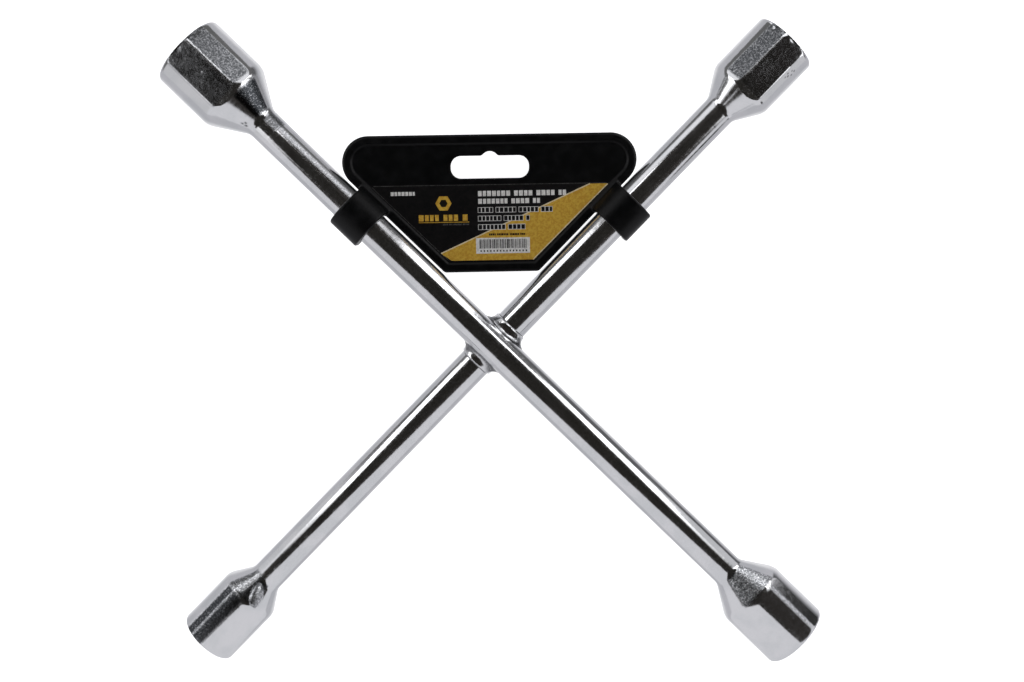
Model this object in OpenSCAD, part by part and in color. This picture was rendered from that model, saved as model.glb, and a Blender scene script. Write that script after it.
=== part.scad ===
// Four-way lug wrench with a moulded display hanger. It lies on its back on z = 0, with the
// crossing over the origin. The front bar runs along Y and the rear bar along X.

/* [Bars] */
// Diameter of both round bars
bar_d = 14; // [12:0.5:16]
// Height of the front bar's axis over the rear bar's axis
axis_step = 6; // [5:0.5:8]

/* [Arm lengths] */
// Crossing to the mouth of the 23 mm socket, along +Y
arm_23 = 175.5; // [165:0.5:190]
// Crossing to the mouth of the 21 mm socket, along -Y
arm_21 = 178.5; // [165:0.5:190]
// Crossing to the mouth of the 19 mm socket, along +X
arm_19 = 174.5; // [165:0.5:190]
// Crossing to the mouth of the 17 mm socket, along -X
arm_17 = 178; // [165:0.5:190]

/* [Sockets] */
// Outside diameter of the 23 mm socket
outer_23 = 32.9; // [32:0.1:36]
// Outside diameter of the 21 mm socket
outer_21 = 30; // [29.5:0.1:34]
// Outside diameter of the 19 mm socket
outer_19 = 28.2; // [27:0.1:31]
// Outside diameter of the 17 mm socket
outer_17 = 26; // [25:0.1:29]
// Length of the sockets' straight outside wall
wall_len = 27.5; // [24:0.5:34]
// Half angle of the shoulder cone between socket and neck
shoulder_angle = 32; // [25:1:45]
// Length of the round neck forged on each socket
neck_len = 7.5; // [4:0.5:12]
// Depth of the hexagon
hex_depth = 22; // [16:0.5:24]
// Depth of the round stud clearance beyond the hexagon
stud_depth = 6; // [4.5:0.5:8]

/* [Crossing weld] */
// Radius of the upset disc between the bars
disc_r = 11.5; // [10:0.1:13]
// Thickness of the upset disc
disc_t = 7; // [4:0.5:8]
// How far the upset collar stands off the rear bar
collar_t = 0.75; // [0.5:0.05:1.5]
// Length of the collar along the rear bar
collar_len = 21.2; // [18:0.2:26]

/* [Hanger] */
// Crossing to the hanger's top edge, along the bisector
hanger_top = 87.5; // [86:0.5:100]
// Crossing to the hanger's bottom edge
hanger_bottom = 30.4; // [26:0.2:36]
// Gap between the hanger's slanted sides and the bars
hanger_gap = 0.6; // [0.4:0.1:1.5]
// Radius of the two top corners
top_corner_r = 11; // [8:0.5:14]
// Radius of the two bottom corners
bottom_corner_r = 2; // [1:0.5:4]
// Width of the raised border
border_w = 4.1; // [3:0.1:5]
// Thickness at the border
border_t = 3; // [2:0.1:4]
// Thickness of the field inside the border
field_t = 1.4; // [1:0.1:1.8]
// Width of the hang slot
slot_w = 32.5; // [30:0.5:36]
// Height of the hang slot
slot_h = 9.3; // [8:0.1:10]
// Height of the slot's middle over the crossing
slot_at = 74; // [73:0.5:76]
// Radius of the round notch at the middle of the slot's top edge
notch_r = 3.7; // [3:0.1:4]

/* [Clips] */
// Crossing to the middle of each clip, along its bar
clip_at = 77; // [70:0.5:82]
// Length of a clip along its bar
clip_len = 14.8; // [10:0.2:18]
// Wall of a clip
clip_wall = 2.9; // [2:0.1:3.5]
// Gap between a clip and its bar
clip_gap = 0.3; // [0.2:0.05:0.5]
// How far a clip's legs reach behind the bar's axis
leg_len = 7; // [5:0.5:8]

/* [Label] */
// Height of the label's top edge over the crossing
label_top = 67; // [60:0.5:67]
// Thickness of the label
label_t = 0.25; // [0.1:0.05:0.4]
// Space between the label and the border
label_gap = 0.3; // [0.2:0.1:1]

/* [Hidden] */
$fn = 96;
cut = 0.5;
steel = "silver";
plastic = [0.05, 0.05, 0.055];

bar_r = bar_d / 2;
rear_z = outer_19 / 2;
front_z = rear_z + axis_step;

// Blend radii of the forged sockets. The shoulder's blend is a share of the outside diameter
neck_blend_r = 5;
shoulder_blend_share = 0.24;
rim_r = 1.8;
// The stud clearance is a little smaller than the hexagon's inscribed circle
stud_side_gap = 0.6;
stud_tip_slope = tan(31);
mouth_lead = 0.6;
mouth_depth = 2;
collar_edge_r = 0.5;
disc_edge_r = 2.5;

// The hanger leans to lie on both bars, because one axis is higher than the other
hanger_lean = atan(axis_step / (clip_at * sqrt(2)));
hanger_z = (rear_z + front_z) / 2;
clip_inner_r = bar_r + clip_gap;
clip_outer_r = clip_inner_r + clip_wall;
label_corner_r = 1;

// ---- Outlines with rounded corners ----

function unit(v) = v / norm(v);
function at(list, i) = list[(i + len(list)) % len(list)];
function to_prev(p, i) = unit(at(p, i - 1) - p[i]);
function to_next(p, i) = unit(at(p, i + 1) - p[i]);
// Half of the corner's inside angle
function half_angle(p, i) = acos(to_prev(p, i) * to_next(p, i)) / 2;
// Positive where an anticlockwise outline turns left, that is, at an outside corner
function turn(p, i) = cross(to_next(p, i), to_prev(p, i));
// The two points where an arc of radius r touches the corner's sides
function touches(p, i, r) = r == 0 ? [p[i]] : [
    p[i] + to_prev(p, i) * r / tan(half_angle(p, i)),
    p[i] + to_next(p, i) * r / tan(half_angle(p, i)),
];
function arc_centre(p, i, r) = p[i] + unit(to_prev(p, i) + to_next(p, i)) * r / sin(half_angle(p, i));

// Anticlockwise outline p whose corner i is rounded to radius r[i], as true arcs
module rounded(p, r) {
    corners = [0 : len(p) - 1];
    difference() {
        union() {
            polygon([for (i = corners) each touches(p, i, r[i])]);
            for (i = corners) if (r[i] > 0 && turn(p, i) > 0) translate(arc_centre(p, i, r[i])) circle(r[i]);
        }
        for (i = corners) if (r[i] > 0 && turn(p, i) < 0) translate(arc_centre(p, i, r[i])) circle(r[i]);
    }
}

// ---- Places ----

// Each places its children, drawn along +X from the crossing, on one arm
module on_rear(side) translate([0, 0, rear_z]) rotate([0, 0, side > 0 ? 0 : 180]) children();
module on_front(side) translate([0, 0, front_z]) rotate([0, 0, side > 0 ? 90 : -90]) children();

// Turns what is drawn along +Z to lie along +X
module along_x() rotate([0, 90, 0]) children();

// The hanger's own plane: x to the rear bar's side, y away from the crossing
module on_hanger() {
    translate([0, 0, hanger_z]) rotate(a = hanger_lean, v = [1, 1, 0]) rotate([0, 0, -45]) children();
}

// ---- Steel ----

function shoulder_len(outer) = (outer / 2 - bar_r) / tan(shoulder_angle);
// Where the socket's neck is butted onto the bar
function joint_at(arm, outer) = arm - wall_len - shoulder_len(outer) - neck_len;

module front_bar_solid() {
    translate([0, 0, front_z]) rotate([-90, 0, 0]) {
        translate([0, 0, -joint_at(arm_21, outer_21)])
            cylinder(r = bar_r, h = joint_at(arm_21, outer_21) + joint_at(arm_23, outer_23));
    }
}

module rear_bar_solid() {
    translate([-joint_at(arm_17, outer_17), 0, rear_z]) along_x()
        cylinder(r = bar_r, h = joint_at(arm_17, outer_17) + joint_at(arm_19, outer_19));
}

module front_bar() color(steel) front_bar_solid();

// The front bar is sunk into a saddle across the rear bar
module rear_bar() color(steel) difference() {
    rear_bar_solid();
    front_bar_solid();
}

// Metal upset from both bars: a disc in the joint's plane and a collar round the rear bar
module centre_weld() color(steel) difference() {
    union() {
        translate([0, 0, hanger_z]) rotate_extrude() rounded(
            [[0, -disc_t / 2], [disc_r, -disc_t / 2], [disc_r, disc_t / 2], [0, disc_t / 2]],
            [0, disc_edge_r, disc_edge_r, 0]);
        translate([-collar_len / 2, 0, rear_z]) along_x() rotate_extrude() rounded(
            [[0, 0], [bar_r + collar_t, 0], [bar_r + collar_t, collar_len], [0, collar_len]],
            [0, collar_edge_r, collar_edge_r, 0]);
    }
    front_bar_solid();
    rear_bar_solid();
}

// A forged socket along +X, with its neck, shoulder, hexagon and stud clearance
module socket(flats, outer, arm) {
    shoulder_end = arm - wall_len;
    shoulder_start = shoulder_end - shoulder_len(outer);
    stud_r = flats / 2 - stud_side_gap;
    corner_r = flats / sqrt(3);
    difference() {
        along_x() rotate_extrude() rounded([
            [0, shoulder_start - neck_len],
            [bar_r, shoulder_start - neck_len],
            [bar_r, shoulder_start],
            [outer / 2, shoulder_end],
            [outer / 2, arm],
            [0, arm],
        ], [0, 0, neck_blend_r, shoulder_blend_share * outer, rim_r, 0]);
        translate([arm - hex_depth, 0, 0]) along_x() rotate([0, 0, 30])
            cylinder(r = corner_r, h = hex_depth + cut, $fn = 6);
        translate([arm - hex_depth - stud_depth, 0, 0]) along_x()
            cylinder(r = stud_r, h = stud_depth + cut);
        translate([arm - hex_depth - stud_depth, 0, 0]) rotate([0, -90, 0])
            cylinder(r1 = stud_r, r2 = 0, h = stud_r * stud_tip_slope);
        translate([arm - mouth_depth, 0, 0]) along_x()
            cylinder(r1 = flats / 2, r2 = corner_r + mouth_lead, h = mouth_depth);
    }
}

module socket_23() color(steel) on_front(1) socket(23, outer_23, arm_23);
module socket_21() color(steel) on_front(-1) socket(21, outer_21, arm_21);
module socket_19() color(steel) on_rear(1) socket(19, outer_19, arm_19);
module socket_17() color(steel) on_rear(-1) socket(17, outer_17, arm_17);

// ---- Hanger ----

// Outline of the space between the bars: sides parallel to them at side_gap from their axes
function between_bars(side_gap, bottom, top) = [
    [-(bottom - side_gap * sqrt(2)), bottom],
    [bottom - side_gap * sqrt(2), bottom],
    [top - side_gap * sqrt(2), top],
    [-(top - side_gap * sqrt(2)), top],
];

module hanger_outline(inset) {
    rounded(
        between_bars(bar_r + hanger_gap + inset, hanger_bottom + inset, hanger_top - inset),
        [for (r = [bottom_corner_r, bottom_corner_r, top_corner_r, top_corner_r]) max(r - inset, 1)]);
}

// A long slot with round ends, and a round notch that centres the part on a peg
module hang_slot() {
    end_at = slot_w / 2 - slot_h / 2;
    translate([0, slot_at]) {
        square([2 * end_at, slot_h], center = true);
        for (side = [-1, 1]) translate([side * end_at, 0]) circle(slot_h / 2);
        translate([0, slot_h / 2 - notch_r / 2]) circle(notch_r);
    }
}

// Half round over the bar, then straight legs of the given length towards -Y
module clip_section(r, legs) {
    intersection() {
        circle(r);
        translate([-r, 0]) square([2 * r, r]);
    }
    translate([-r, -legs]) square([2 * r, legs]);
}

// The clip's section as a solid block on the arm along +X
module clip_block(r, legs, len) {
    translate([clip_at - len / 2, 0, 0]) rotate([90, 0, 90]) linear_extrude(len) clip_section(r, legs);
}

module clip() {
    difference() {
        clip_block(clip_outer_r, leg_len, clip_len);
        clip_block(clip_inner_r, leg_len + cut, clip_len + 2 * cut);
    }
}

module hanger_plate() color(plastic) difference() {
    on_hanger() difference() {
        union() {
            translate([0, 0, -border_t / 2]) linear_extrude(border_t) difference() {
                hanger_outline(0);
                hanger_outline(border_w);
            }
            translate([0, 0, -field_t / 2]) linear_extrude(field_t) hanger_outline(border_w / 2);
        }
        translate([0, 0, -border_t]) linear_extrude(2 * border_t) hang_slot();
    }
    on_front(1) clip_block(clip_outer_r, leg_len, clip_len);
    on_rear(1) clip_block(clip_outer_r, leg_len, clip_len);
}

module front_bar_clip() color(plastic) on_front(1) clip();
module rear_bar_clip() color(plastic) on_rear(1) clip();

module label_card() color("goldenrod") on_hanger() {
    translate([0, 0, field_t / 2]) linear_extrude(label_t) rounded(
        between_bars(bar_r + hanger_gap + border_w + label_gap, hanger_bottom + border_w + label_gap, label_top),
        [for (i = [1 : 4]) label_corner_r]);
}

front_bar();
rear_bar();
centre_weld();
socket_23();
socket_21();
socket_19();
socket_17();
hanger_plate();
front_bar_clip();
rear_bar_clip();
label_card();
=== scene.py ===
import math

import bpy
import numpy as np
from mathutils import Matrix, Vector


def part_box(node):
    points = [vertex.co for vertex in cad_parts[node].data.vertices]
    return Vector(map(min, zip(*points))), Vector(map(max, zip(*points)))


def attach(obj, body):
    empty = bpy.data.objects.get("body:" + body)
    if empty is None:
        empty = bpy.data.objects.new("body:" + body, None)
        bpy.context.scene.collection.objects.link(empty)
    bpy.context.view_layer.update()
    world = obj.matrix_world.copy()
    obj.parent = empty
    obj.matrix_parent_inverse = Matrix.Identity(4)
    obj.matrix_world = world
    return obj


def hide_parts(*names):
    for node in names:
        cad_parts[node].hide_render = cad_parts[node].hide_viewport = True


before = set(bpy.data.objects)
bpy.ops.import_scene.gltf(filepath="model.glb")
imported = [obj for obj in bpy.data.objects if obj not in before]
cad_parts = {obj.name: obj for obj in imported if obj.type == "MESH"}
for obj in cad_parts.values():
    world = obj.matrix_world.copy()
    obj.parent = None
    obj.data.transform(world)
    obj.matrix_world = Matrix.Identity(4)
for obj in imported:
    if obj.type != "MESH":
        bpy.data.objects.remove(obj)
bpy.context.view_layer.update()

# Looks of a four-way lug wrench with its moulded display hanger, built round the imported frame.
# All sizes are in millimetres in the row frame, until piece() turns a mesh into metres.

MM = 0.001
Z = np.array([0.0, 0.0, 1.0])


def box_mm(node):
    """Lowest and highest corner of a CAD node"""
    lo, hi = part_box(node)
    return np.array(lo) / MM, np.array(hi) / MM


def middle(node):
    lo, hi = box_mm(node)
    return (lo + hi) / 2


# ---- Sizes from the frame ----

BAR_R = (box_mm("front_bar")[1] - box_mm("front_bar")[0])[0] / 2
FRONT_Z = middle("front_bar")[2]
REAR_Z = middle("rear_bar")[2]
MID_Z = (FRONT_Z + REAR_Z) / 2
CLIP_AT = middle("front_bar_clip")[1]
CLIP_LEN = (box_mm("front_bar_clip")[1] - box_mm("front_bar_clip")[0])[1]
CLIP_OUTER_R = (box_mm("front_bar_clip")[1] - box_mm("front_bar_clip")[0])[0] / 2
LEG_LEN = FRONT_Z - box_mm("front_bar_clip")[0][2]

# ---- Sizes of the design that a box doesn't give ----

# Sockets
WALL_LEN = 27.5
SHOULDER_ANGLE = math.radians(32)
NECK_BLEND_R = 5
SHOULDER_BLEND_SHARE = 0.48
RIM_R = 1.8
HEX_DEPTH = 22
STUD_DEPTH = 6
STUD_SIDE_GAP = 0.6
STUD_TIP_SLOPE = math.tan(math.radians(31))
MOUTH_LEAD = 0.6
MOUTH_DEPTH = 2
# Upset metal at the crossing: a disc between the bars, and a collar on the rear bar
DISC_R = 11.5
DISC_T = 7
DISC_EDGE_R = 2.5
COLLAR_R = 7.75
COLLAR_LEN = 21.2
COLLAR_EDGE = 0.22
UPSET_END_X = 12.2
UPSET_END_Y = 13.5
# Where the heating of the front bar's upper arm for its socket began, from the crossing. Past it painted
# shade darkens the bar's colour.
HEATED_FROM = 124.5
# Hanger, in its own plane, with y measured from the crossing
CLIP_INNER_R = 7.3
HANGER_TOP = 87.5
HANGER_BOTTOM = 30.4
HANGER_SIDE = 7.6
TOP_CORNER_R = 11
BOTTOM_CORNER_R = 2
BORDER_W = 4.1
BORDER_T = 3
FIELD_T = 1.4
SLOT_W = 32.5
SLOT_H = 9.3
SLOT_AT = 74
NOTCH_R = 3.7
# Label card in the hanger's recess
LABEL_SIDE = 12
LABEL_BOTTOM = 34.8
LABEL_TOP = 67
LABEL_T = 0.25

# ---- Meshes ----


def piece(name, points, faces, body, material, sharp_angle=None, values=None):
    """A shown piece from points in millimetres. values are numbers on its points, for its material."""
    points = np.asarray(points, float)
    mesh = bpy.data.meshes.new(name)
    mesh.from_pydata((points * MM).tolist(), [], faces)
    mesh.update()
    if signed_volume(mesh) < 0:
        mesh.flip_normals()
    mesh.shade_smooth()
    if sharp_angle is not None:
        mesh.set_sharp_from_angle(angle=math.radians(sharp_angle))
    for key, numbers in (values or {}).items():
        mesh.attributes.new(key, "FLOAT", "POINT").data.foreach_set("value", numbers.astype(np.float32))
    mesh.materials.append(material)
    obj = bpy.data.objects.new(name, mesh)
    bpy.context.scene.collection.objects.link(obj)
    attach(obj, body)
    return obj


def signed_volume(mesh):
    mesh.calc_loop_triangles()
    corners = np.zeros(len(mesh.loop_triangles) * 3, np.int32)
    mesh.loop_triangles.foreach_get("vertices", corners)
    points = np.zeros(len(mesh.vertices) * 3, np.float32)
    mesh.vertices.foreach_get("co", points)
    a, b, c = points.reshape(-1, 3).astype(float)[corners.reshape(-1, 3)].transpose(1, 0, 2)
    return np.einsum("ij,ij->i", a, np.cross(b, c)).sum() / 6


def loft_mesh(rings):
    """Points and faces of a closed skin over rings of points, each end closed by a fan to its middle"""
    rows, columns, _ = rings.shape
    points = np.vstack([rings.reshape(-1, 3), rings[0].mean(0), rings[-1].mean(0)])
    here = np.arange(columns)
    after = (here + 1) % columns
    start = np.arange(rows - 1)[:, None] * columns
    quads = np.stack([start + here, start + after, start + columns + after, start + columns + here], -1)
    first, last = rows * columns, rows * columns + 1
    top = (rows - 1) * columns
    fans = [(first, int(b), int(a)) for a, b in zip(here, after)]
    fans += [(last, int(top + a), int(top + b)) for a, b in zip(here, after)]
    return points, quads.reshape(-1, 4).tolist() + fans


def surface_net(distance, lo, hi, cell):
    """Points and faces of the closed surface where distance(x, y, z) is zero, one point to a mixed cell"""
    lo = np.asarray(lo, float)
    counts = np.ceil((np.asarray(hi) - lo) / cell).astype(int) + 1
    axes = [lo[i] + cell * np.arange(counts[i]) for i in range(3)]
    inside = distance(*np.meshgrid(*axes, indexing="ij")) < 0
    corners = sum(
        inside[i: counts[0] - 1 + i, j: counts[1] - 1 + j, k: counts[2] - 1 + k].astype(np.int8)
        for i in (0, 1) for j in (0, 1) for k in (0, 1))
    mixed = (corners > 0) & (corners < 8)
    number = np.full(mixed.shape, -1)
    number[mixed] = np.arange(mixed.sum())
    middles = lo + cell * (np.argwhere(mixed) + 0.5)
    points = middles.copy()
    for _ in range(4):
        value = distance(*points.T)
        slope = np.stack([
            distance(*(points + step).T) - distance(*(points - step).T)
            for step in np.eye(3) * cell * 0.05], -1) / (cell * 0.1)
        points -= (value / np.maximum((slope ** 2).sum(-1), 0.2))[:, None] * slope
        points = np.clip(points, middles - cell * 0.7, middles + cell * 0.7)
    quads = []
    for a in range(3):
        b, c = (a + 1) % 3, (a + 2) % 3
        change = np.diff(inside.astype(np.int8), axis=a)
        at = np.argwhere(change)
        sign = change[tuple(at.T)]
        ring = []
        for back_b, back_c in ((1, 1), (0, 1), (0, 0), (1, 0)):
            cell_at = at.copy()
            cell_at[:, b] -= back_b
            cell_at[:, c] -= back_c
            ring.append(number[tuple(cell_at.T)])
        ring = np.stack(ring, -1)
        quads.append(np.where(sign[:, None] < 0, ring, ring[:, ::-1]))
    return points, np.vstack(quads).tolist()


# ---- Formulas for shapes ----


def ease(x, start, end):
    """0 before start and 1 after end, with a smooth turn between them"""
    t = np.clip((x - start) / (end - start), 0, 1)
    return t * t * (3 - 2 * t)


def window(x, lo, hi, soft):
    """1 from lo to hi, fading out over soft outside them"""
    return ease(x, lo - soft, lo) * (1 - ease(x, hi, hi + soft))


def smooth_min(a, b, k):
    """The lesser of two numbers, with a fillet about k wide where they are equal"""
    h = np.maximum(k - np.abs(a - b), 0) / k
    return np.minimum(a, b) - h * h * k / 4


def smooth_max(a, b, k):
    return -smooth_min(-a, -b, k)


def rounded_box(x, y, half_x, half_y, r):
    """Signed distance to a rectangle with corners of radius r"""
    dx, dy = np.abs(x) - half_x + r, np.abs(y) - half_y + r
    return np.hypot(np.maximum(dx, 0), np.maximum(dy, 0)) + np.minimum(np.maximum(dx, dy), 0) - r


def rounded_outline(x, y, corners, radii):
    """Signed distance to a convex anticlockwise outline whose corners are rounded"""
    corners = np.asarray(corners, float)
    count = len(corners)
    along = [corners[(i + 1) % count] - corners[i] for i in range(count)]
    normals = [np.array([v[1], -v[0]]) / np.hypot(*v) for v in along]
    d = np.max([n[0] * (x - p[0]) + n[1] * (y - p[1]) for n, p in zip(normals, corners)], 0)
    for i, r in enumerate(radii):
        before, after = normals[i - 1], normals[i]
        centre = corners[i] - (before + after) * r / (1 + before @ after)
        qx, qy = x - centre[0], y - centre[1]
        beside = (before[0] * qy - before[1] * qx >= 0) & (qx * after[1] - qy * after[0] >= 0)
        d = np.where(beside, np.hypot(qx, qy) - r, d)
    return d


def outline(corners, radii, step):
    """Points at most step apart along a path whose inner corners are rounded to radii"""
    corners = [np.array(c, float) for c in corners]
    arcs = []
    for i in range(1, len(corners) - 1):
        back = corners[i - 1] - corners[i]
        on = corners[i + 1] - corners[i]
        back, on = back / np.hypot(*back), on / np.hypot(*on)
        half = math.acos(np.clip(back @ on, -1, 1)) / 2
        reach = radii[i] / math.tan(half)
        centre = corners[i] + (back + on) / np.hypot(*(back + on)) * radii[i] / math.sin(half)
        steps = max(2, math.ceil(radii[i] * (math.pi - 2 * half) / step))
        a, b = corners[i] + back * reach, corners[i] + on * reach
        turn = math.pi - 2 * half
        u, v = a - centre, b - centre
        arcs.append([
            centre + (math.sin(turn * (1 - t)) * u + math.sin(turn * t) * v) / math.sin(turn)
            for t in np.linspace(0, 1, steps + 1)])
    points = [corners[0]]
    for target in [*arcs, [corners[-1]]]:
        gap = np.hypot(*(target[0] - points[-1]))
        count = max(1, math.ceil(gap / step))
        start = points[-1]
        points += [start + (target[0] - start) * t for t in np.linspace(0, 1, count + 1)[1:]]
        points += list(target[1:])
    return np.array(points)


def grain(rng, rows, columns, size):
    """Random relief of unit height on a grid that closes on itself, with bumps about size steps wide"""
    waves = np.fft.fft2(rng.standard_normal((rows, columns)))
    row_f, column_f = np.fft.fftfreq(rows)[:, None], np.fft.fftfreq(columns)[None]
    relief = np.fft.ifft2(waves * np.exp(-2 * (math.pi * size) ** 2 * (row_f ** 2 + column_f ** 2))).real
    return relief / relief.std()


# ---- Node trees ----


class Nodes:
    """Short forms for the nodes that the materials and the world share"""

    def __init__(self, tree):
        self.tree = tree
        tree.nodes.clear()

    def new(self, kind, inputs=None, **settings):
        node = self.tree.nodes.new(kind)
        for key, value in settings.items():
            setattr(node, key, value)
        for key, value in (inputs or {}).items():
            self.put(node.inputs[key], value)
        return node

    def put(self, socket, value):
        if isinstance(value, bpy.types.NodeSocket):
            self.tree.links.new(value, socket)
        else:
            socket.default_value = value

    def math(self, operation, *values):
        node = self.new("ShaderNodeMath", operation=operation)
        for socket, value in zip(node.inputs, values):
            self.put(socket, value)
        return node.outputs[0]

    def ease(self, value, start, end, low=0.0, high=1.0):
        """From low at start to high at end, smoothly"""
        names = ("Value", "From Min", "From Max", "To Min", "To Max")
        inputs = dict(zip(names, (value, start, end, low, high)))
        node = self.new("ShaderNodeMapRange", inputs, interpolation_type="SMOOTHSTEP")
        return node.outputs["Result"]

    def dot(self, vector, axis):
        node = self.new("ShaderNodeVectorMath", {0: vector, 1: tuple(axis)}, operation="DOT_PRODUCT")
        return node.outputs["Value"]

    def mix(self, share, a, b):
        """Colour a at share 0 and b at share 1"""
        node = self.new("ShaderNodeMix", data_type="RGBA")
        self.put(node.inputs[0], share)
        for socket, value in ((node.inputs[6], a), (node.inputs[7], b)):
            self.put(socket, (*value, 1) if isinstance(value, tuple) else value)
        return node.outputs[2]

    def noise(self, scale, detail, roughness=0.5):
        """Noise with its size in object space, scale to the metre"""
        where = self.new("ShaderNodeTexCoord").outputs["Object"]
        inputs = {"Vector": where, "Scale": scale, "Detail": detail, "Roughness": roughness}
        return self.new("ShaderNodeTexNoise", inputs).outputs[0]

    def bump(self, height, distance, strength, normal=None):
        inputs = {"Height": height, "Distance": distance, "Strength": strength}
        if normal is not None:
            inputs["Normal"] = normal
        return self.new("ShaderNodeBump", inputs).outputs[0]

    def attribute(self, name):
        return self.new("ShaderNodeAttribute", attribute_name=name).outputs["Fac"]

    def surface(self, **inputs):
        """Ends a material with one Principled shader"""
        shader = self.new("ShaderNodeBsdfPrincipled", {k.replace("_", " "): v for k, v in inputs.items()})
        self.new("ShaderNodeOutputMaterial", {"Surface": shader.outputs[0]})


def material(name):
    made = bpy.data.materials.new(name)
    made.use_nodes = True
    return made, Nodes(made.node_tree)


# ---- Materials ----


def chrome(name):
    """Bright plating over forged steel, faintly hazed. Point value forged is 1 where the skin under it is
    rough.
    The other point value is 1 where the colour is darkened: painted shade on the sockets, bars and weld, and
    thinly plated steel inside the hexagons."""
    made, n = material(name)
    forged, painted_shade_and_thin_plate = n.attribute("forged"), n.attribute("painted_shade_and_thin_plate")
    smears = n.noise(90, 3)
    orange_peel = n.noise(700, 3)
    pits = n.noise(1500, 4, 0.7)
    bright = n.mix(n.ease(smears, 0.35, 0.65), (0.79, 0.80, 0.81), (0.86, 0.86, 0.87))
    dull = n.mix(n.ease(pits, 0.44, 0.62), (0.26, 0.27, 0.28), (0.95, 0.96, 0.98))
    # Near-black tone of the darkened places: painted shade outside, thinly plated steel inside the hexagons
    dark = n.mix(n.ease(pits, 0.53, 0.73), (0.030, 0.033, 0.037), (0.50, 0.51, 0.53))
    polish = n.math("ADD", n.ease(smears, 0.3, 0.75, 0.07, 0.12), n.ease(orange_peel, 0.35, 0.7, 0.0, 0.06))
    dulled = n.math("MULTIPLY_ADD", forged, 0.16, polish)
    fine = n.bump(orange_peel, 0.00004, 0.4)
    coarse = n.bump(pits, 0.00009, n.math("MULTIPLY_ADD", forged, 0.6, 0.04), fine)
    colour = n.mix(painted_shade_and_thin_plate, n.mix(forged, bright, dull), dark)
    hazed = n.ease(n.noise(1150, 3, 0.7), 0.42, 0.66, 1.0, 0.98)
    n.surface(Base_Color=colour, Metallic=hazed, Roughness=dulled, Normal=coarse)
    return made


def moulded_plastic(name):
    """Black polypropylene with a fine spark-eroded skin, slightly scuffed"""
    made, n = material(name)
    scuffs = n.noise(240, 4, 0.6)
    skin = n.noise(3800, 2, 0.6)
    colour = n.mix(n.ease(scuffs, 0.45, 0.8), (0.0012, 0.0012, 0.0014), (0.0035, 0.0035, 0.004))
    roughness = n.ease(scuffs, 0.25, 0.75, 0.32, 0.44)
    n.surface(
        Base_Color=colour, Roughness=roughness, Specular_IOR_Level=0.2,
        Normal=n.bump(skin, 0.00003, 0.5))
    return made


def print_ink(name, colour, other, spread=900.0):
    """Glossy offset ink whose screen dots drift between two tones"""
    made, n = material(name)
    dots = n.noise(spread, 3, 0.7)
    tone = n.mix(n.ease(dots, 0.38, 0.62), colour, other)
    n.surface(
        Base_Color=tone, Roughness=n.ease(dots, 0.2, 0.8, 0.28, 0.4), Specular_IOR_Level=0.3,
        Normal=n.bump(dots, 0.00001, 0.3))
    return made


CHROME = chrome("chrome_plate")
PLASTIC = moulded_plastic("hanger_plastic")
INK_BLACK = print_ink("ink_black", (0.003, 0.003, 0.0035), (0.007, 0.006, 0.006))
INK_GOLD = print_ink("ink_gold", (0.50, 0.27, 0.035), (0.62, 0.40, 0.06))
INK_WHITE = print_ink("ink_white", (0.62, 0.61, 0.58), (0.78, 0.77, 0.75))
INK_PALE = print_ink("ink_pale", (0.66, 0.54, 0.32), (0.72, 0.62, 0.42))
INK_DIM = print_ink("ink_dim", (0.05, 0.05, 0.048), (0.12, 0.12, 0.115), 1500.0)

# ---- Steel ----

COLUMNS = 288
BAR_COLUMNS = 144
RING_STEP = 0.36
BAR_STEP = 0.9


def full_turn(columns):
    """Angles round an axis in radians, one to a column of points"""
    return np.arange(columns) * 2 * math.pi / columns


TURN = full_turn(COLUMNS)


def signed_degrees(turn):
    """Degrees from -180 to 180, with 0 at the top"""
    return np.degrees((turn + math.pi) % (2 * math.pi) - math.pi)


class Arm:
    """One arm of the wrench: out is the way its socket points, side the way round to angle +90 degrees"""

    def __init__(self, node, out, side, height):
        self.node, self.out, self.side, self.height = node, np.array(out), np.array(side), height
        lo, hi = box_mm(node)
        reach = np.abs(np.stack([lo, hi]) @ self.out)
        self.joint, self.mouth = reach.min(), reach.max()
        self.outer_r = np.abs((hi - lo) @ self.side) / 2
        self.flats = float(node.split("_")[1])
        self.shoulder_end = self.mouth - WALL_LEN
        self.shoulder_start = self.shoulder_end - (self.outer_r - BAR_R) / math.tan(SHOULDER_ANGLE)

    def place(self, along, r, angle=TURN):
        """Points at distance along from the crossing, r from the axis and angle from the top"""
        along, r, angle = np.broadcast_arrays(along, r, angle)
        across, up = r * np.sin(angle), r * np.cos(angle) + self.height
        return along[..., None] * self.out + across[..., None] * self.side + up[..., None] * Z


ARMS = [
    Arm("socket_23", (0, 1, 0), (1, 0, 0), FRONT_Z),
    Arm("socket_21", (0, -1, 0), (1, 0, 0), FRONT_Z),
    Arm("socket_19", (1, 0, 0), (0, 1, 0), REAR_Z),
    Arm("socket_17", (-1, 0, 0), (0, 1, 0), REAR_Z),
]


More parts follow.
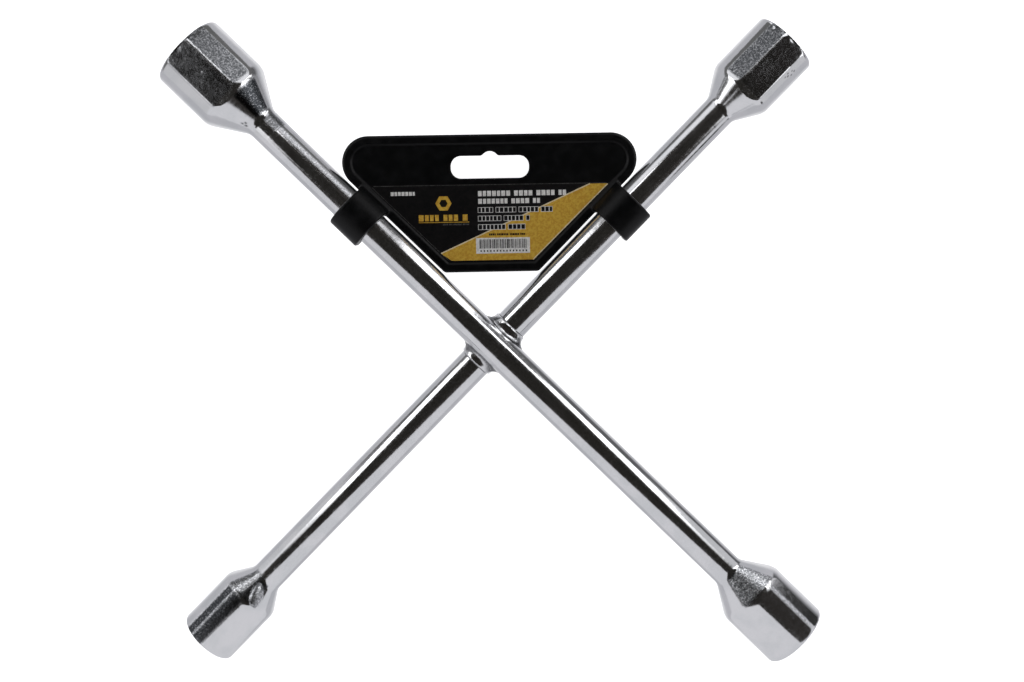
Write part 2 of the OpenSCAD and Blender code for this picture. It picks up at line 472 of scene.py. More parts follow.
class Skin:
    """The relief of one forged socket: its radius, roughness and painted shade over its length and round its
    axis.
    Angles are in degrees from the top. Places along it are millimetres from the mouth, negative towards
    the bar."""

    def __init__(self, arm, profile, seed):
        self.arm = arm
        self.along = profile[:, :1] - arm.mouth + 0 * TURN
        self.angle = signed_degrees(TURN) + 0 * self.along
        self.r = profile[:, 1:] + 0 * TURN
        wall = np.clip(profile[:, :1], arm.shoulder_start, arm.shoulder_end) - arm.shoulder_start
        self.full_r = BAR_R + wall * math.tan(SHOULDER_ANGLE) + 0 * TURN
        self.rough = np.zeros_like(self.r)
        self.painted_shade_and_thin_plate = np.zeros_like(self.r)
        self.rng = np.random.default_rng(seed)

    def from_angle(self, angle):
        return (self.angle - angle + 180) % 360 - 180

    def flat(self, angle, half, edge=0.08):
        """A flat left by the die on the wall, half an arc to each side of angle"""
        off = np.radians(np.clip(self.from_angle(angle), -80, 80))
        limit = self.arm.outer_r * math.cos(math.radians(half)) / np.cos(off)
        self.r = smooth_min(self.r, limit, edge)

    def ridge(self, angle, width, height, start, end, soft, wobble=0.0):
        """A raised line along the socket, width and height in millimetres, that may wander by wobble"""
        off = np.radians(self.from_angle(angle)) * self.full_r
        if wobble:
            off = off + wobble * grain(self.rng, *self.r.shape, 6)[:, :1]
        self.r += height * np.exp(-(off / width) ** 2) * window(self.along, start, end, soft)

    def patch(self, angle, half, start, end, soft_angle, soft=1.0):
        """1 inside a patch of the skin, fading out round it"""
        return window(self.from_angle(angle), -half, half, soft_angle) * window(self.along, start, end, soft)

    def speckle(self, share, height, rough=1.0):
        """Small hammered bumps over a patch"""
        self.r += height * share * grain(self.rng, *self.r.shape, 1.1)
        self.rough = np.maximum(self.rough, rough * share)

    def shade(self, share):
        """Painted shade over a patch: the plating's colour is darkened there"""
        self.painted_shade_and_thin_plate = np.maximum(self.painted_shade_and_thin_plate, share)

    def offset(self, along, angle, long, wide, lean=0.0):
        """0 in the middle of an oval and 1 on its edge. It leans towards a greater angle as it goes out."""
        x = self.along - along
        y = np.radians(self.from_angle(angle)) * self.full_r - lean * x
        return (x / long) ** 2 + (y / wide) ** 2

    def dent(self, along, angle, long, wide, depth):
        self.r -= depth * np.exp(-self.offset(along, angle, long, wide))

    def pit(self, along, angle, size):
        """A small pit, its colour darkened as painted shade"""
        share = np.exp(-self.offset(along, angle, size, size))
        self.r -= size / 2 * share
        self.shade(share)

    def lump(self, along, angle, long, wide, height, lean):
        """A smooth oval swelling with a distinct foot"""
        self.r += height * np.clip(1 - self.offset(along, angle, long, wide, lean), 0, 1) ** 0.75

    def waves(self, height):
        """Slow unevenness of the whole skin"""
        self.r += height * grain(self.rng, *self.r.shape, 14)


# Height of the slow unevenness that every socket has
SLOW_WAVES = 0.015


def skin_23(skin):
    """Two flats with a raised line between them. The upper flat and the cone are hammered."""
    skin.waves(SLOW_WAVES)
    skin.flat(34, 16)
    skin.flat(-5, 22.5)
    skin.ridge(17.8, 0.28, 0.12, -24.5, -0.5, 1.5)
    # The upper flat, the lower flat, the cone and the neck, in that order, each hammered and darkened with
    # painted shade
    skin.speckle(skin.patch(33, 15, -26.5, 0, 2.5), 0.010)
    skin.shade(0.5 * skin.patch(33, 14, -26, 0, 2.5))
    skin.speckle(skin.patch(-5, 21, -26.5, 0, 2.5), 0.0012, 0.35)
    skin.shade(0.65 * skin.patch(-8, 18, -26.5, 0, 6))
    skin.speckle(skin.patch(32, 17, -41, -30, 5, 1.5), 0.006, 0.8)
    skin.shade(0.97 * skin.patch(28, 22, -40.5, -30.5, 5, 1.5))
    neck = skin.patch(38, 22, -70, -44, 6)
    skin.speckle(neck, 0.005, 0.55)
    skin.shade(0.55 * neck)
    skin.pit(-39.5, -28, 0.45)
    skin.pit(-38.7, -34, 0.4)
    skin.pit(-40.2, -36, 0.5)
    skin.pit(-14, -4, 0.3)
    skin.dent(-1.0, 34, 1.0, 2.2, 0.2)
    skin.dent(-0.8, -3, 0.9, 1.8, 0.07)


def skin_21(skin):
    """A bright hammered cone, and a dark flat to each side of a bright stripe"""
    skin.waves(SLOW_WAVES)
    skin.flat(48, 9.5)
    skin.flat(17.5, 10.5, 0.5)
    cone = skin.patch(17, 33, -39.5, -28.4, 5, 0.8)
    skin.speckle(cone, 0.010)
    # Light painted shade over the cone
    skin.shade(0.25 * cone)
    # The stripe between the flats, then the lower flat
    skin.speckle(skin.patch(36.5, 3, -27, -6, 4, 6), 0.006, 0.6)
    skin.speckle(skin.patch(16, 10, -26, 0, 6), 0.0015, 0.3)


def skin_19(skin):
    """A hammered flat beside a broad dark one, with chips at the rim and a few pits. Painted shade darkens
    both flats and the pits.
    """
    skin.waves(SLOW_WAVES)
    skin.flat(28.5, 15.5)
    skin.flat(-10.5, 23.5)
    skin.ridge(29, 0.5, 0.05, -23, -6, 2, 0.3)
    upper_flat = skin.patch(28.5, 14, -26, 0, 3)
    skin.speckle(upper_flat, 0.006)
    skin.shade(0.75 * upper_flat)
    # The lower flat, darkened with painted shade
    skin.speckle(skin.patch(-2, 14, -22, -4, 6), 0.0008, 0.06)
    skin.shade(0.5 * skin.patch(-12, 20, -26, 0, 5))
    skin.ridge(12.7, 0.3, 0.05, -23, -3, 2, 0.05)
    # A wandering row of small dashes
    for along in np.arange(-20, -5, 1.7):
        skin.ridge(-9 + 3 * math.sin(along), 0.25, 0.03, along, along + 0.4, 0.4)
    skin.pit(-11.6, -45, 0.4)
    skin.pit(-10.1, -49, 0.35)
    skin.pit(-10.9, -40.5, 0.35)
    skin.pit(-8.9, -43, 0.3)
    skin.pit(-12.7, -42, 0.3)
    skin.pit(-8.2, -47, 0.35)
    skin.dent(-1.2, 35, 0.9, 0.8, 0.5)
    skin.dent(-0.8, 13, 0.8, 0.9, 0.4)
    skin.dent(-0.6, -6, 0.7, 2.0, 0.1)


def skin_17(skin):
    """Two flats darkened with painted shade and a hammered stripe between them. The cone also carries painted
    shade, except on its lump.
    """
    skin.waves(SLOW_WAVES)
    skin.flat(39, 7)
    skin.flat(16.5, 11, 0.6)
    skin.ridge(30, 0.7, 0.07, -27, -9, 4, 0.25)
    skin.speckle(skin.patch(33, 14, -26.5, 0, 3), 0.010, 0.9)
    skin.speckle(skin.patch(12, 8, -26.5, 0, 3), 0.002, 0.4)
    skin.shade(0.93 * skin.patch(39, 6, -26, 0, 2.5))
    skin.shade(0.9 * skin.patch(16, 9, -26, 0, 4))
    upper_cone = skin.patch(30, 18, -38, -27.5, 5, 1.5)
    skin.speckle(upper_cone, 0.006, 0.7)
    skin.shade(0.4 * upper_cone)
    lower_cone = skin.patch(-3, 18, -36.5, -28.3, 5, 1)
    skin.speckle(lower_cone, 0.004, 0.6)
    skin.shade(0.75 * lower_cone)
    skin.lump(-31.6, -11, 4.4, 3.0, 1.2, -0.35)
    on_lump = skin.patch(-11, 9, -33.5, -29.5, 6, 2)
    # The lump keeps none of the painted shade
    skin.painted_shade_and_thin_plate *= 1 - on_lump
    skin.speckle(on_lump, 0.014, 1.6)


SKINS = {"socket_23": skin_23, "socket_21": skin_21, "socket_19": skin_19, "socket_17": skin_17}


def socket(arm):
    """A forged socket with its neck, shoulder, wall and rim, then its hexagon and stud clearance"""
    corner_r = arm.flats / math.sqrt(3)
    stud_r = arm.flats / 2 - STUD_SIDE_GAP
    lip_r = (corner_r + MOUTH_LEAD + arm.outer_r - RIM_R) / 2
    profile = outline(
        [(arm.joint, BAR_R), (arm.shoulder_start, BAR_R), (arm.shoulder_end, arm.outer_r),
         (arm.mouth, arm.outer_r), (arm.mouth, lip_r)],
        [0, NECK_BLEND_R, SHOULDER_BLEND_SHARE * arm.outer_r, RIM_R, 0], RING_STEP)
    skin = Skin(arm, profile, int(arm.flats))
    plain = skin.r.copy()
    SKINS[arm.node](skin)
    past_joint = ease(profile[:, :1], arm.joint, arm.joint + 0.4)
    off_lip = np.where(skin.along > -RIM_R, ease(plain, arm.outer_r - RIM_R, arm.outer_r - RIM_R * 0.3), 1)
    outer_r = plain + (skin.r - plain) * past_joint * off_lip
    rings = [arm.place(profile[:, :1], outer_r)]

    off_flat = (TURN + math.pi / 6) % (math.pi / 3) - math.pi / 6
    hexagon = np.minimum(arm.flats / 2 / np.cos(off_flat), corner_r * 0.985)
    mouth_slope = (corner_r + MOUTH_LEAD - arm.flats / 2) / MOUTH_DEPTH
    for depth in np.linspace(0, MOUTH_DEPTH, 9):
        cone_r = corner_r + MOUTH_LEAD - mouth_slope * depth
        rings.append(arm.place(arm.mouth - depth, np.maximum(hexagon, cone_r))[None])
    ledge = arm.mouth - HEX_DEPTH
    for depth in np.linspace(MOUTH_DEPTH + 1, HEX_DEPTH - 0.3, 12):
        rings.append(arm.place(arm.mouth - depth, hexagon)[None])
    bottom = ledge - STUD_DEPTH
    tip = bottom - stud_r * STUD_TIP_SLOPE
    bore = [(ledge, hexagon - 0.25), (ledge, stud_r + 0.25), (ledge - 0.25, stud_r), (bottom + 0.25, stud_r)]
    bore += [(bottom - 0.1, stud_r - 0.3), (tip + 0.4, 0.4 / STUD_TIP_SLOPE)]
    rings += [arm.place(s, r + 0 * TURN)[None] for s, r in bore]
    rings = np.concatenate(rings)
    points, faces = loft_mesh(rings)
    forged, painted_shade_and_thin_plate = np.zeros(len(points)), np.zeros(len(points))
    forged[: skin.rough.size] = (skin.rough * past_joint).ravel()
    painted_shade_and_thin_plate[: skin.painted_shade_and_thin_plate.size] = (skin.painted_shade_and_thin_plate * past_joint).ravel()
    # Points of the skin carry its painted shade; past the bright mouth, the inside of the hexagon is forged
    # steel, thinly plated and dull
    bright_mouth_rings = 4
    inside = np.arange(len(points)) >= skin.rough.size + bright_mouth_rings * COLUMNS
    forged[inside] = 0.7
    painted_shade_and_thin_plate[inside] = 0.3
    values = {"forged": forged, "painted_shade_and_thin_plate": painted_shade_and_thin_plate}
    name = arm.node + "_forging"
    obj = piece(name, points, faces, "wrench", CHROME, sharp_angle=15, values=values)
    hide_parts(arm.node)


def bar(name, node, back, on, seed, saddle=False, heated_from=None):
    """A drawn round bar from one arm's joint to the other's, very slightly uneven. From heated_from on, its
    heating for its socket left it rough, and painted shade darkens its colour; from the clip on a grip left a
    dull stripe along it."""
    along = np.linspace(-back.joint, on.joint, math.ceil((back.joint + on.joint) / BAR_STEP))[:, None]
    rng = np.random.default_rng(seed)
    turn = full_turn(BAR_COLUMNS)
    relief = 0.006 * grain(rng, len(along), BAR_COLUMNS, 9) + 0.0012 * grain(rng, len(along), BAR_COLUMNS, 2)
    near_end = ease(along, -back.joint, 4 - back.joint) * (1 - ease(along, on.joint - 4, on.joint))
    forged = np.full(relief.shape, 0.04)
    painted_shade_and_thin_plate = np.zeros(relief.shape)
    if heated_from is not None:
        angle = signed_degrees(turn)
        past_mark = ease(along, heated_from, heated_from + BAR_STEP)
        relief += 0.12 * past_mark * np.exp((heated_from - along) / 6)
        heated_and_painted_shade = past_mark * window(angle, 16, 60, 6)
        stripe = ease(along, CLIP_AT, CLIP_AT + 5) * window(angle, 26, 42, 5)
        forged = np.maximum(forged, np.maximum(0.55 * heated_and_painted_shade, 0.5 * stripe))
        # Painted shade: the plating's colour is darkened past the mark
        painted_shade_and_thin_plate = 0.55 * heated_and_painted_shade
    rings = on.place(along, BAR_R + relief * near_end, turn)
    if saddle:
        under = FRONT_Z - np.sqrt(np.maximum(BAR_R ** 2 - rings[..., 0] ** 2, 0))
        sunk = np.abs(rings[..., 0]) < BAR_R
        rings[..., 2] = np.where(sunk, np.minimum(rings[..., 2], under), rings[..., 2])
    points, faces = loft_mesh(rings)
    fan_middles = [0, 0]
    values = {"forged": np.append(forged, fan_middles), "painted_shade_and_thin_plate": np.append(painted_shade_and_thin_plate, fan_middles)}
    obj = piece(name, points, faces, "wrench", CHROME, sharp_angle=50, values=values)
    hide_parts(node)


def cylinder_distance(along, off_a, off_b, half, r, edge):
    return rounded_box(np.hypot(off_a, off_b), along, r, half, edge)


def weld_distance(x, y, z):
    """Metal upset round the crossing, run out onto both bars, which are drawn just under their true size"""
    hidden = 0.04
    front = np.hypot(x, z - FRONT_Z) - BAR_R + hidden
    rear = np.hypot(y, z - REAR_Z) - BAR_R + hidden
    disc = cylinder_distance(z - MID_Z, x, y, DISC_T / 2, DISC_R, DISC_EDGE_R)
    barrel = np.hypot(y, z - REAR_Z) - COLLAR_R
    end = np.abs(x) - COLLAR_LEN / 2
    collar = np.maximum(np.maximum(barrel, end), (barrel + end + COLLAR_EDGE) / math.sqrt(2))
    upset = smooth_min(disc, collar, 1.5)
    upset = smooth_min(upset, front, 2.2)
    upset = smooth_min(upset, rear, 0.6)
    reach = np.maximum(np.abs(x) - UPSET_END_X, np.abs(y) - UPSET_END_Y)
    return np.maximum(upset, reach)


def weld():
    points, faces = surface_net(weld_distance, lo=(-13, -14.5, 5.5), hi=(13, 14.5, 28.5), cell=0.24)
    x, y, z = points.T
    lumps = 0.012 * np.sin(x * 1.3 + 1) * np.sin(y * 1.1 + 2) * np.sin(z * 1.2)
    points = points + lumps[:, None] * (points - [0, 0, MID_Z]) / 12
    off_barrel = ease(np.abs(np.hypot(y, z - REAR_Z) - COLLAR_R), 0.08, 0.8)
    # Off the collar's barrel the upset is rough, and painted shade darkens its colour and greys its
    # highlights
    values = {"forged": 0.12 + 0.35 * off_barrel, "painted_shade_and_thin_plate": 0.7 * off_barrel}
    obj = piece("crossing_weld", points, faces, "wrench", CHROME, values=values)
    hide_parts("centre_weld")


# ---- Hanger ----

LEAN = math.atan((FRONT_Z - REAR_Z) / (CLIP_AT * math.sqrt(2)))
ON_HANGER = Matrix.Rotation(LEAN, 3, Vector((1, 1, 0)).normalized()) @ Matrix.Rotation(-math.pi / 4, 3, "Z")
ON_HANGER = np.array(ON_HANGER)


def from_hanger(points):
    """Row-frame points of places in the hanger's plane: x to the rear bar's side, y away from the crossing"""
    return np.asarray(points, float) @ ON_HANGER.T + Z * MID_Z


def to_hanger(x, y, z):
    p = np.stack([x, y, z - MID_Z], -1) @ ON_HANGER
    return p[..., 0], p[..., 1], p[..., 2]


def between_bars(side, bottom, top):
    """Outline whose slanted sides lie at side from the bars' axes"""
    low, high = bottom - side * math.sqrt(2), top - side * math.sqrt(2)
    return [(-low, bottom), (low, bottom), (high, top), (-high, top)]


HANGER_OUTLINE = between_bars(HANGER_SIDE, HANGER_BOTTOM, HANGER_TOP)
HANGER_RADII = [BOTTOM_CORNER_R, BOTTOM_CORNER_R, TOP_CORNER_R, TOP_CORNER_R]


def slot_distance(x, y):
    """Signed distance to the hang slot with its peg notch, seen from the front"""
    long = rounded_box(x, y - SLOT_AT, SLOT_W / 2, SLOT_H / 2, SLOT_H / 2 - 0.4)
    notch = np.hypot(x, y - SLOT_AT - SLOT_H / 2 + NOTCH_R / 2) - NOTCH_R
    return smooth_min(long, notch, 0.8)


def plate_distance(x, y, z):
    """The plate in its own plane: a rounded border bead round a field thinner than the bead, and the hang
    slot
    """
    inset = -rounded_outline(x, y, HANGER_OUTLINE, HANGER_RADII)
    bead = rounded_box(inset - BORDER_W / 2, z, BORDER_W / 2, BORDER_T / 2, 1.15)
    field = np.maximum(np.abs(z) - FIELD_T / 2, BORDER_W / 2 - inset)
    plate = smooth_min(bead, field, 0.45)
    return smooth_max(plate, -slot_distance(x, y), 0.5)


def plate():
    margin = 1.2
    wide = HANGER_TOP - HANGER_SIDE * math.sqrt(2)
    lo = (-wide - margin, HANGER_BOTTOM - margin, -BORDER_T / 2 - margin)
    hi = (wide + margin, HANGER_TOP + margin, BORDER_T / 2 + margin)
    points, faces = surface_net(plate_distance, lo, hi, cell=0.38)
    obj = piece("hanger_plate_moulding", from_hanger(points), faces, "hanger", PLASTIC)
    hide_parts("hanger_plate")


def clip_distance(along, across, up, on_plate):
    """A sleeve over the bar with two legs behind it, run out onto the plate's border"""
    def section(r):
        return np.where(up > 0, np.hypot(across, up), np.abs(across)) - r

    shell = smooth_max(section(CLIP_OUTER_R), -section(CLIP_INNER_R), 0.5)
    shell = smooth_max(shell, -LEG_LEN - up, 0.8)
    shell = smooth_max(shell, np.abs(along - CLIP_AT) - CLIP_LEN / 2, 0.9)
    foot = np.maximum(on_plate + 0.03, np.abs(along - CLIP_AT) - CLIP_LEN / 2 - 1.5)
    foot = np.maximum(foot, np.maximum(HANGER_SIDE + 0.4 - across, across - HANGER_SIDE - BORDER_W + 0.6))
    return smooth_min(shell, foot, 1.6)


def clip(name, node, arm):
    """arm is the one whose bar the clip holds; the plate lies on its side towards the other bar"""
    def distance(along, across, up):
        p = arm.place(along, np.hypot(across, up), np.arctan2(across, up))
        return clip_distance(along, across, up, plate_distance(*to_hanger(p[..., 0], p[..., 1], p[..., 2])))

    lo = (CLIP_AT - CLIP_LEN / 2 - 3, -CLIP_OUTER_R - 1, -LEG_LEN - 1)
    hi = (CLIP_AT + CLIP_LEN / 2 + 3, HANGER_SIDE + BORDER_W + 2, CLIP_OUTER_R + 1)
    points, faces = surface_net(distance, lo, hi, cell=0.3)
    along, across, up = points.T
    points = arm.place(along, np.hypot(across, up), np.arctan2(across, up))
    obj = piece(name, points, faces, "hanger", PLASTIC)
    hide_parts(node)


# ---- Label print: flat shapes in the hanger's plane, a hair above the card ----

CARD_TOP = FIELD_T / 2 + LABEL_T
INK_T = 0.02


def rectangle(x0, y0, x1, y1):
    return [(x0, y0), (x1, y0), (x1, y1), (x0, y1)]


def printed(name, shapes, layer, ink):
    """Flat shapes as one piece, each an anticlockwise outline. A higher layer lies over a lower one."""
    points, faces = [], []
    low, high = CARD_TOP - INK_T, CARD_TOP + INK_T * (layer + 1)
    for shape in shapes:
        count, first = len(shape), len(points)
        points += [(x, y, low) for x, y in shape] + [(x, y, high) for x, y in shape]
        faces.append([first + i for i in reversed(range(count))])
        faces.append([first + count + i for i in range(count)])
        for i in range(count):
            j = (i + 1) % count
            faces.append([first + i, first + j, first + count + j, first + count + i])
    return piece(name, from_hanger(points), faces, "hanger", ink, sharp_angle=30)


def strip(a, b, width):
    """A straight line with some width, from a to b"""
    a, b = np.array(a, float), np.array(b, float)
    side = np.array([a[1] - b[1], b[0] - a[0]]) / np.hypot(*(b - a)) * width / 2
    return [tuple(p) for p in (a - side, b - side, b + side, a + side)]


def words(rng, x0, x1, y, height):
    """A line of plain blocks in the rhythm of words, from x0 to x1, with y at its middle"""
    blocks, x = [], x0
    left_in_word = rng.integers(4, 8)
    while x < x1:
        width = height * rng.uniform(0.55, 0.8)
        if left_in_word == 0:
            x += height * 0.55
            left_in_word = rng.integers(3, 8)
        end = min(x + width, x1)
        if end - x > 0.3 * height:
            blocks.append(rectangle(x, y - height / 2, end, y + height / 2))
        x = end + height * 0.2
        left_in_word -= 1
    return blocks


def nut_icon(x, y, r):
    """A hexagon nut seen from the front, as six bars round a hole"""
    outer = [(x + r * math.cos(a), y + r * math.sin(a)) for a in np.arange(6) * math.pi / 3]
    inner = [(x + r * 0.5 * math.cos(a), y + r * 0.5 * math.sin(a)) for a in np.arange(6) * math.pi / 3]
    return [[outer[i - 1], outer[i], inner[i], inner[i - 1]] for i in range(6)]


def label():
    rng = np.random.default_rng(3)
    card_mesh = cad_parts["label_card"].data
    card_mesh.materials.clear()
    card_mesh.materials.append(INK_BLACK)
    card = between_bars(LABEL_SIDE, LABEL_BOTTOM, LABEL_TOP)
    right_low, right_high = card[1], card[2]
    gold_low, gold_high = (-21.1, 38.4), (41.5, LABEL_TOP - 0.6)
    margin = 0.5
    gold = [
        (card[0][0] + 1.2, LABEL_BOTTOM + margin), (right_low[0] - 0.4, LABEL_BOTTOM + margin),
        (right_high[0] - 1.2, LABEL_TOP - 0.6), gold_high, gold_low]
    printed("print_gold", [gold], 0, INK_GOLD)
    right_line = strip((right_low[0] - 0.5, LABEL_BOTTOM + 0.5), (right_high[0] - 1.1, LABEL_TOP - 0.7), 0.45)
    printed("print_pale_lines", [strip(gold_low, gold_high, 0.5), right_line], 1, INK_PALE)
    edges = [
        strip((card[3][0] + 1.5, LABEL_TOP - 0.35), (right_high[0] - 1.5, LABEL_TOP - 0.35), 0.16),
        strip((card[3][0] + 1.0, LABEL_TOP - 0.8), (card[0][0] - 0.3, LABEL_BOTTOM + 0.8), 0.14)]
    printed("print_edge_lines", edges, 1, INK_DIM)
    panel = rectangle(-6.4, 38.1, 16.1, 44.6)
    printed("print_panel", [panel], 2, INK_WHITE)
    bars, x = [], -4.9
    while x < 14.8:
        width = rng.choice([0.18, 0.3, 0.45])
        bars.append(rectangle(x, 40.2, x + width, 44.0))
        x += width + rng.choice([0.2, 0.3, 0.42])
    bars += [rectangle(a, 38.8, a + 0.55, 39.5) for a in np.arange(-4.6, 14.6, 1.35)]
    printed("print_panel_bars", bars, 3, INK_BLACK)
    # Rows of words, each from one x to another, with its middle y and its height
    white = words(rng, -5.2, 31.5, 63.0, 2.2) + words(rng, -5.2, 20.6, 59.8, 2.1)
    white += words(rng, -41.4, -29.8, 63.4, 1.6)
    printed("print_white_words", white, 2, INK_WHITE)
    outlined = [(-5.2, 25.6, 56.2), (-5.2, 16.3, 52.7), (-5.2, 14.2, 49.1)]
    halo, dark = [], []
    for x0, x1, y in outlined:
        row = words(rng, x0, x1, y, 1.9)
        dark += row
        halo += [rectangle(r[0][0] - 0.2, r[0][1] - 0.2, r[2][0] + 0.2, r[2][1] + 0.2) for r in row]
    printed("print_word_outlines", halo, 2, INK_WHITE)
    printed("print_dark_words", dark + words(rng, -0.9, 14.1, 46.0, 0.8), 3, INK_BLACK)
    under_icon = words(rng, -30, -9.1, 53.2, 2.6) + [rectangle(-30, 51.2, -9.1, 51.5)]
    printed("print_icon", nut_icon(-19.6, 59.2, 3.4) + under_icon, 2, INK_GOLD)
    printed("print_small_words", words(rng, -20, -9.1, 50.4, 0.6), 2, INK_DIM)


# ---- Studio ----

# Photographic axes in the row frame: right and up in the picture
RIGHT = Vector((1, -1, 0)).normalized()
UP = Vector((1, 1, 0)).normalized()


def studio_world():
    """What the plating mirrors above and below the cards of the tent. The camera sees plain white."""
    world = bpy.data.worlds.new("studio")
    bpy.context.scene.world = world
    world.use_nodes = True
    n = Nodes(world.node_tree)
    way = n.new("ShaderNodeTexCoord").outputs["Generated"]
    high = n.dot(way, Z)
    aside = n.math("ARCTAN2", n.dot(way, RIGHT), n.dot(way, UP))

    # Overhead: a dim room, unevenly lit
    grainy = {"Vector": way, "Scale": 34.0, "Detail": 5.0, "Roughness": 0.8}
    mottle = n.new("ShaderNodeTexNoise", grainy).outputs[0]
    room = n.mix(n.ease(mottle, 0.40, 0.62), (0.001, 0.001, 0.001), (0.036, 0.033, 0.029))
    # The pale table, brightest straight below, with a dark gap at the upper right
    table = n.mix(n.ease(high, -0.6, -0.95), (0.50, 0.50, 0.53), (0.86, 0.86, 0.88))
    in_gap = n.math("MULTIPLY", n.ease(aside, 0.58, 0.76), n.ease(aside, 1.42, 1.22))
    in_gap = n.math("MULTIPLY", in_gap, n.ease(high, -0.68, -0.36))
    table = n.mix(in_gap, table, (0.11, 0.11, 0.115))

    colour = n.mix(n.ease(high, 0.02, -0.02), room, table)
    seen = n.new("ShaderNodeLightPath").outputs["Is Camera Ray"]
    background = n.new("ShaderNodeBackground", {"Color": n.mix(seen, colour, (1.0, 1.0, 1.0))})
    n.new("ShaderNodeOutputWorld", {"Surface": background.outputs[0]})


def tent_light():
    """Radiance of the tent's cards by place in millimetres: across and up in the picture, and height"""
    made, n = material("tent_cards")
    where = n.new("ShaderNodeTexCoord").outputs["Object"]
    across, up, height = (n.math("MULTIPLY", n.dot(where, axis), 1 / MM) for axis in (RIGHT, UP, Z))
    left = n.math("MULTIPLY", across, -1.0)

    def times(*values):
        product = values[0]
        for value in values[1:]:
            product = n.math("MULTIPLY", product, value)
        return product

    # Plain pale cards below the picture, taller at the left corner and lower at the right
    corner = times(n.ease(left, 120, 220), n.ease(up, -100, -140), 90)
    drop = n.math("ADD", n.ease(left, 235, 245, 0, 27), n.ease(across, 200, 250, 0, 85))
    top = n.math("SUBTRACT", n.math("ADD", corner, 212), drop)
    pale = n.ease(n.math("SUBTRACT", height, top), 14, -14)
    lower = n.mix(pale, (0.025, 0.022, 0.02), (0.66, 0.66, 0.69))
    # Softboxes at both sides above, set higher at the left, with a gap at each far corner. Between them are
    # a small lamp and a low strip light on a dim card.
    side_edge = times(n.ease(across, 235, 245), n.ease(up, 60, 30), 90)
    right_edge = n.math("ADD", n.ease(across, 150, 250, 0, 50), side_edge)
    above_right = n.math("SUBTRACT", height, right_edge)
    right_box = times(n.ease(across, 85, 118), n.ease(height, 250, 215), n.ease(above_right, -10, 20))
    above_left = n.math("SUBTRACT", height, n.ease(up, 60, 130, 112, 85))
    left_box = times(n.ease(left, 85, 118), n.ease(height, 290, 260), n.ease(above_left, 0, 27))
    lamp_rows = times(n.ease(height, 156, 168), n.ease(height, 215, 200))
    lamp = times(n.ease(left, 20, 36), n.ease(left, 74, 58), lamp_rows)
    gap = times(n.ease(n.math("ABSOLUTE", across), 168, 185), n.ease(up, 165, 182), n.ease(height, 165, 135))
    boxes = times(n.math("MAXIMUM", right_box, left_box), n.math("SUBTRACT", 1.0, gap))
    boxes = n.math("MAXIMUM", boxes, lamp)
    near_middle = n.ease(n.math("ABSOLUTE", across), 96, 70)
    strip_light = times(n.ease(height, 35, 70), n.ease(height, 170, 130), near_middle)
    far_card = n.mix(strip_light, (0.13, 0.13, 0.13), (0.85, 0.85, 0.88))
    card = n.mix(n.ease(up, 40, 90), (0.58, 0.58, 0.60), far_card)
    between = n.mix(n.ease(height, 185, 140), (0.03, 0.027, 0.025), card)
    softbox = n.mix(n.ease(up, 0, 40), (0.85, 0.85, 0.87), (2.3, 2.3, 2.35))
    upper = n.mix(boxes, between, softbox)

    colour = n.mix(n.ease(up, -40, -5), lower, upper)
    # A shadow low on the right card
    beside = times(n.ease(up, -90, -70), n.ease(up, -20, -35))
    under = times(n.ease(across, 235, 245), n.ease(height, 55, 35), beside)
    colour = n.mix(under, colour, (0.03, 0.03, 0.03))
    light = n.new("ShaderNodeEmission", {"Color": colour, "Strength": 1.0})
    n.new("ShaderNodeOutputMaterial", {"Surface": light.outputs[0]})
    return made


def tent():
    """Four upright cards round the wrench. The camera looks through them."""
    below, above, beside, tall = -150, 193, 250, 340
    corners = [(-beside, below), (beside, below), (beside, above), (-beside, above)]
    feet = [np.array(RIGHT) * x + np.array(UP) * y for x, y in corners]
    points = feet + [foot + Z * tall for foot in feet]
    mesh = bpy.data.meshes.new("tent")
    walls = [(i, (i + 1) % 4, (i + 1) % 4 + 4, i + 4) for i in range(4)]
    mesh.from_pydata((np.array(points) * MM).tolist(), [], walls)
    mesh.materials.append(tent_light())
    obj = bpy.data.objects.new("tent", mesh)
    bpy.context.scene.collection.objects.link(obj)
    obj.visible_camera = False
    obj.visible_shadow = False


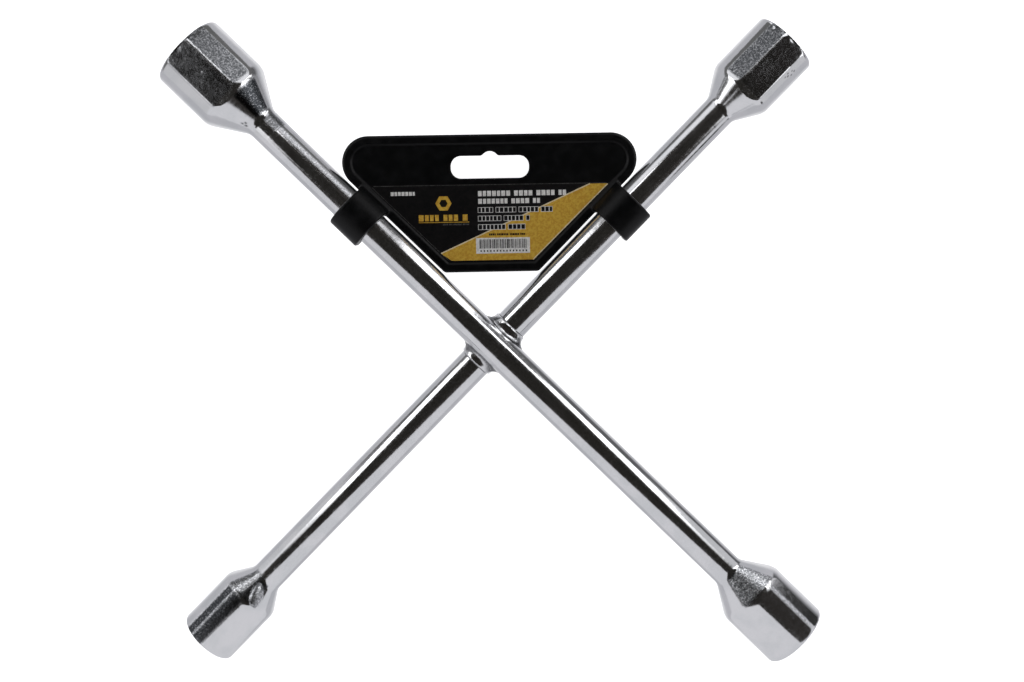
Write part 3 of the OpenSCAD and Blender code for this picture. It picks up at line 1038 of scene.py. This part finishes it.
def table():
    """A plain pale table top, lit from below as well, which keeps only a faint shadow"""
    made, n = material("table_white")
    paper = n.noise(30, 2)
    diffuse = n.new("ShaderNodeBsdfDiffuse", {"Color": n.mix(paper, (0.78, 0.78, 0.78), (0.80, 0.80, 0.80))})
    glow = n.new("ShaderNodeEmission", {"Color": (1, 1, 1, 1), "Strength": 0.94})
    both = n.new("ShaderNodeAddShader", {0: diffuse.outputs[0], 1: glow.outputs[0]})
    n.new("ShaderNodeOutputMaterial", {"Surface": both.outputs[0]})
    half, drop = 4.0, 0.0002
    mesh = bpy.data.meshes.new("table")
    corners = [(-half, -half, -drop), (half, -half, -drop), (half, half, -drop), (-half, half, -drop)]
    mesh.from_pydata(corners, [], [(0, 1, 2, 3)])
    mesh.materials.append(made)
    obj = bpy.data.objects.new("table", mesh)
    bpy.context.scene.collection.objects.link(obj)
    obj.visible_glossy = False


def camera():
    """Nearly straight above the crossing, a little nearer to the picture's top"""
    distance, lens = 600, 50.17
    tilt_top, tilt_side, roll = math.radians(5.15), math.radians(-1.25), math.radians(1.0)
    crossing_in_view = Vector((-7.9, -1.3, -distance))
    tilt = Matrix.Rotation(tilt_top, 3, "X") @ Matrix.Rotation(tilt_side, 3, "Y")
    to_view = Matrix.Rotation(roll, 3, "Z") @ tilt
    picture_axes = Matrix((RIGHT, UP, Vector((0, 0, 1)))).transposed()
    from_view = picture_axes @ to_view.transposed()
    data = bpy.data.cameras.new("camera")
    data.lens, data.sensor_width = lens, 36
    data.clip_start, data.clip_end = 0.01, 50
    obj = bpy.data.objects.new("camera", data)
    bpy.context.scene.collection.objects.link(obj)
    place = from_view @ (-crossing_in_view) + Vector((0, 0, MID_Z))
    obj.matrix_world = Matrix.Translation(place * MM) @ from_view.to_4x4()
    bpy.context.scene.camera = obj


for arm in ARMS:
    socket(arm)
bar("front_bar_drawn", "front_bar", ARMS[1], ARMS[0], 11, heated_from=HEATED_FROM)
bar("rear_bar_drawn", "rear_bar", ARMS[3], ARMS[2], 12, saddle=True)
weld()
plate()
clip("front_bar_clip_moulding", "front_bar_clip", ARMS[0])
clip("rear_bar_clip_moulding", "rear_bar_clip", ARMS[2])
label()
studio_world()
tent()
table()
camera()
bpy.context.scene.view_settings.view_transform = "Standard"
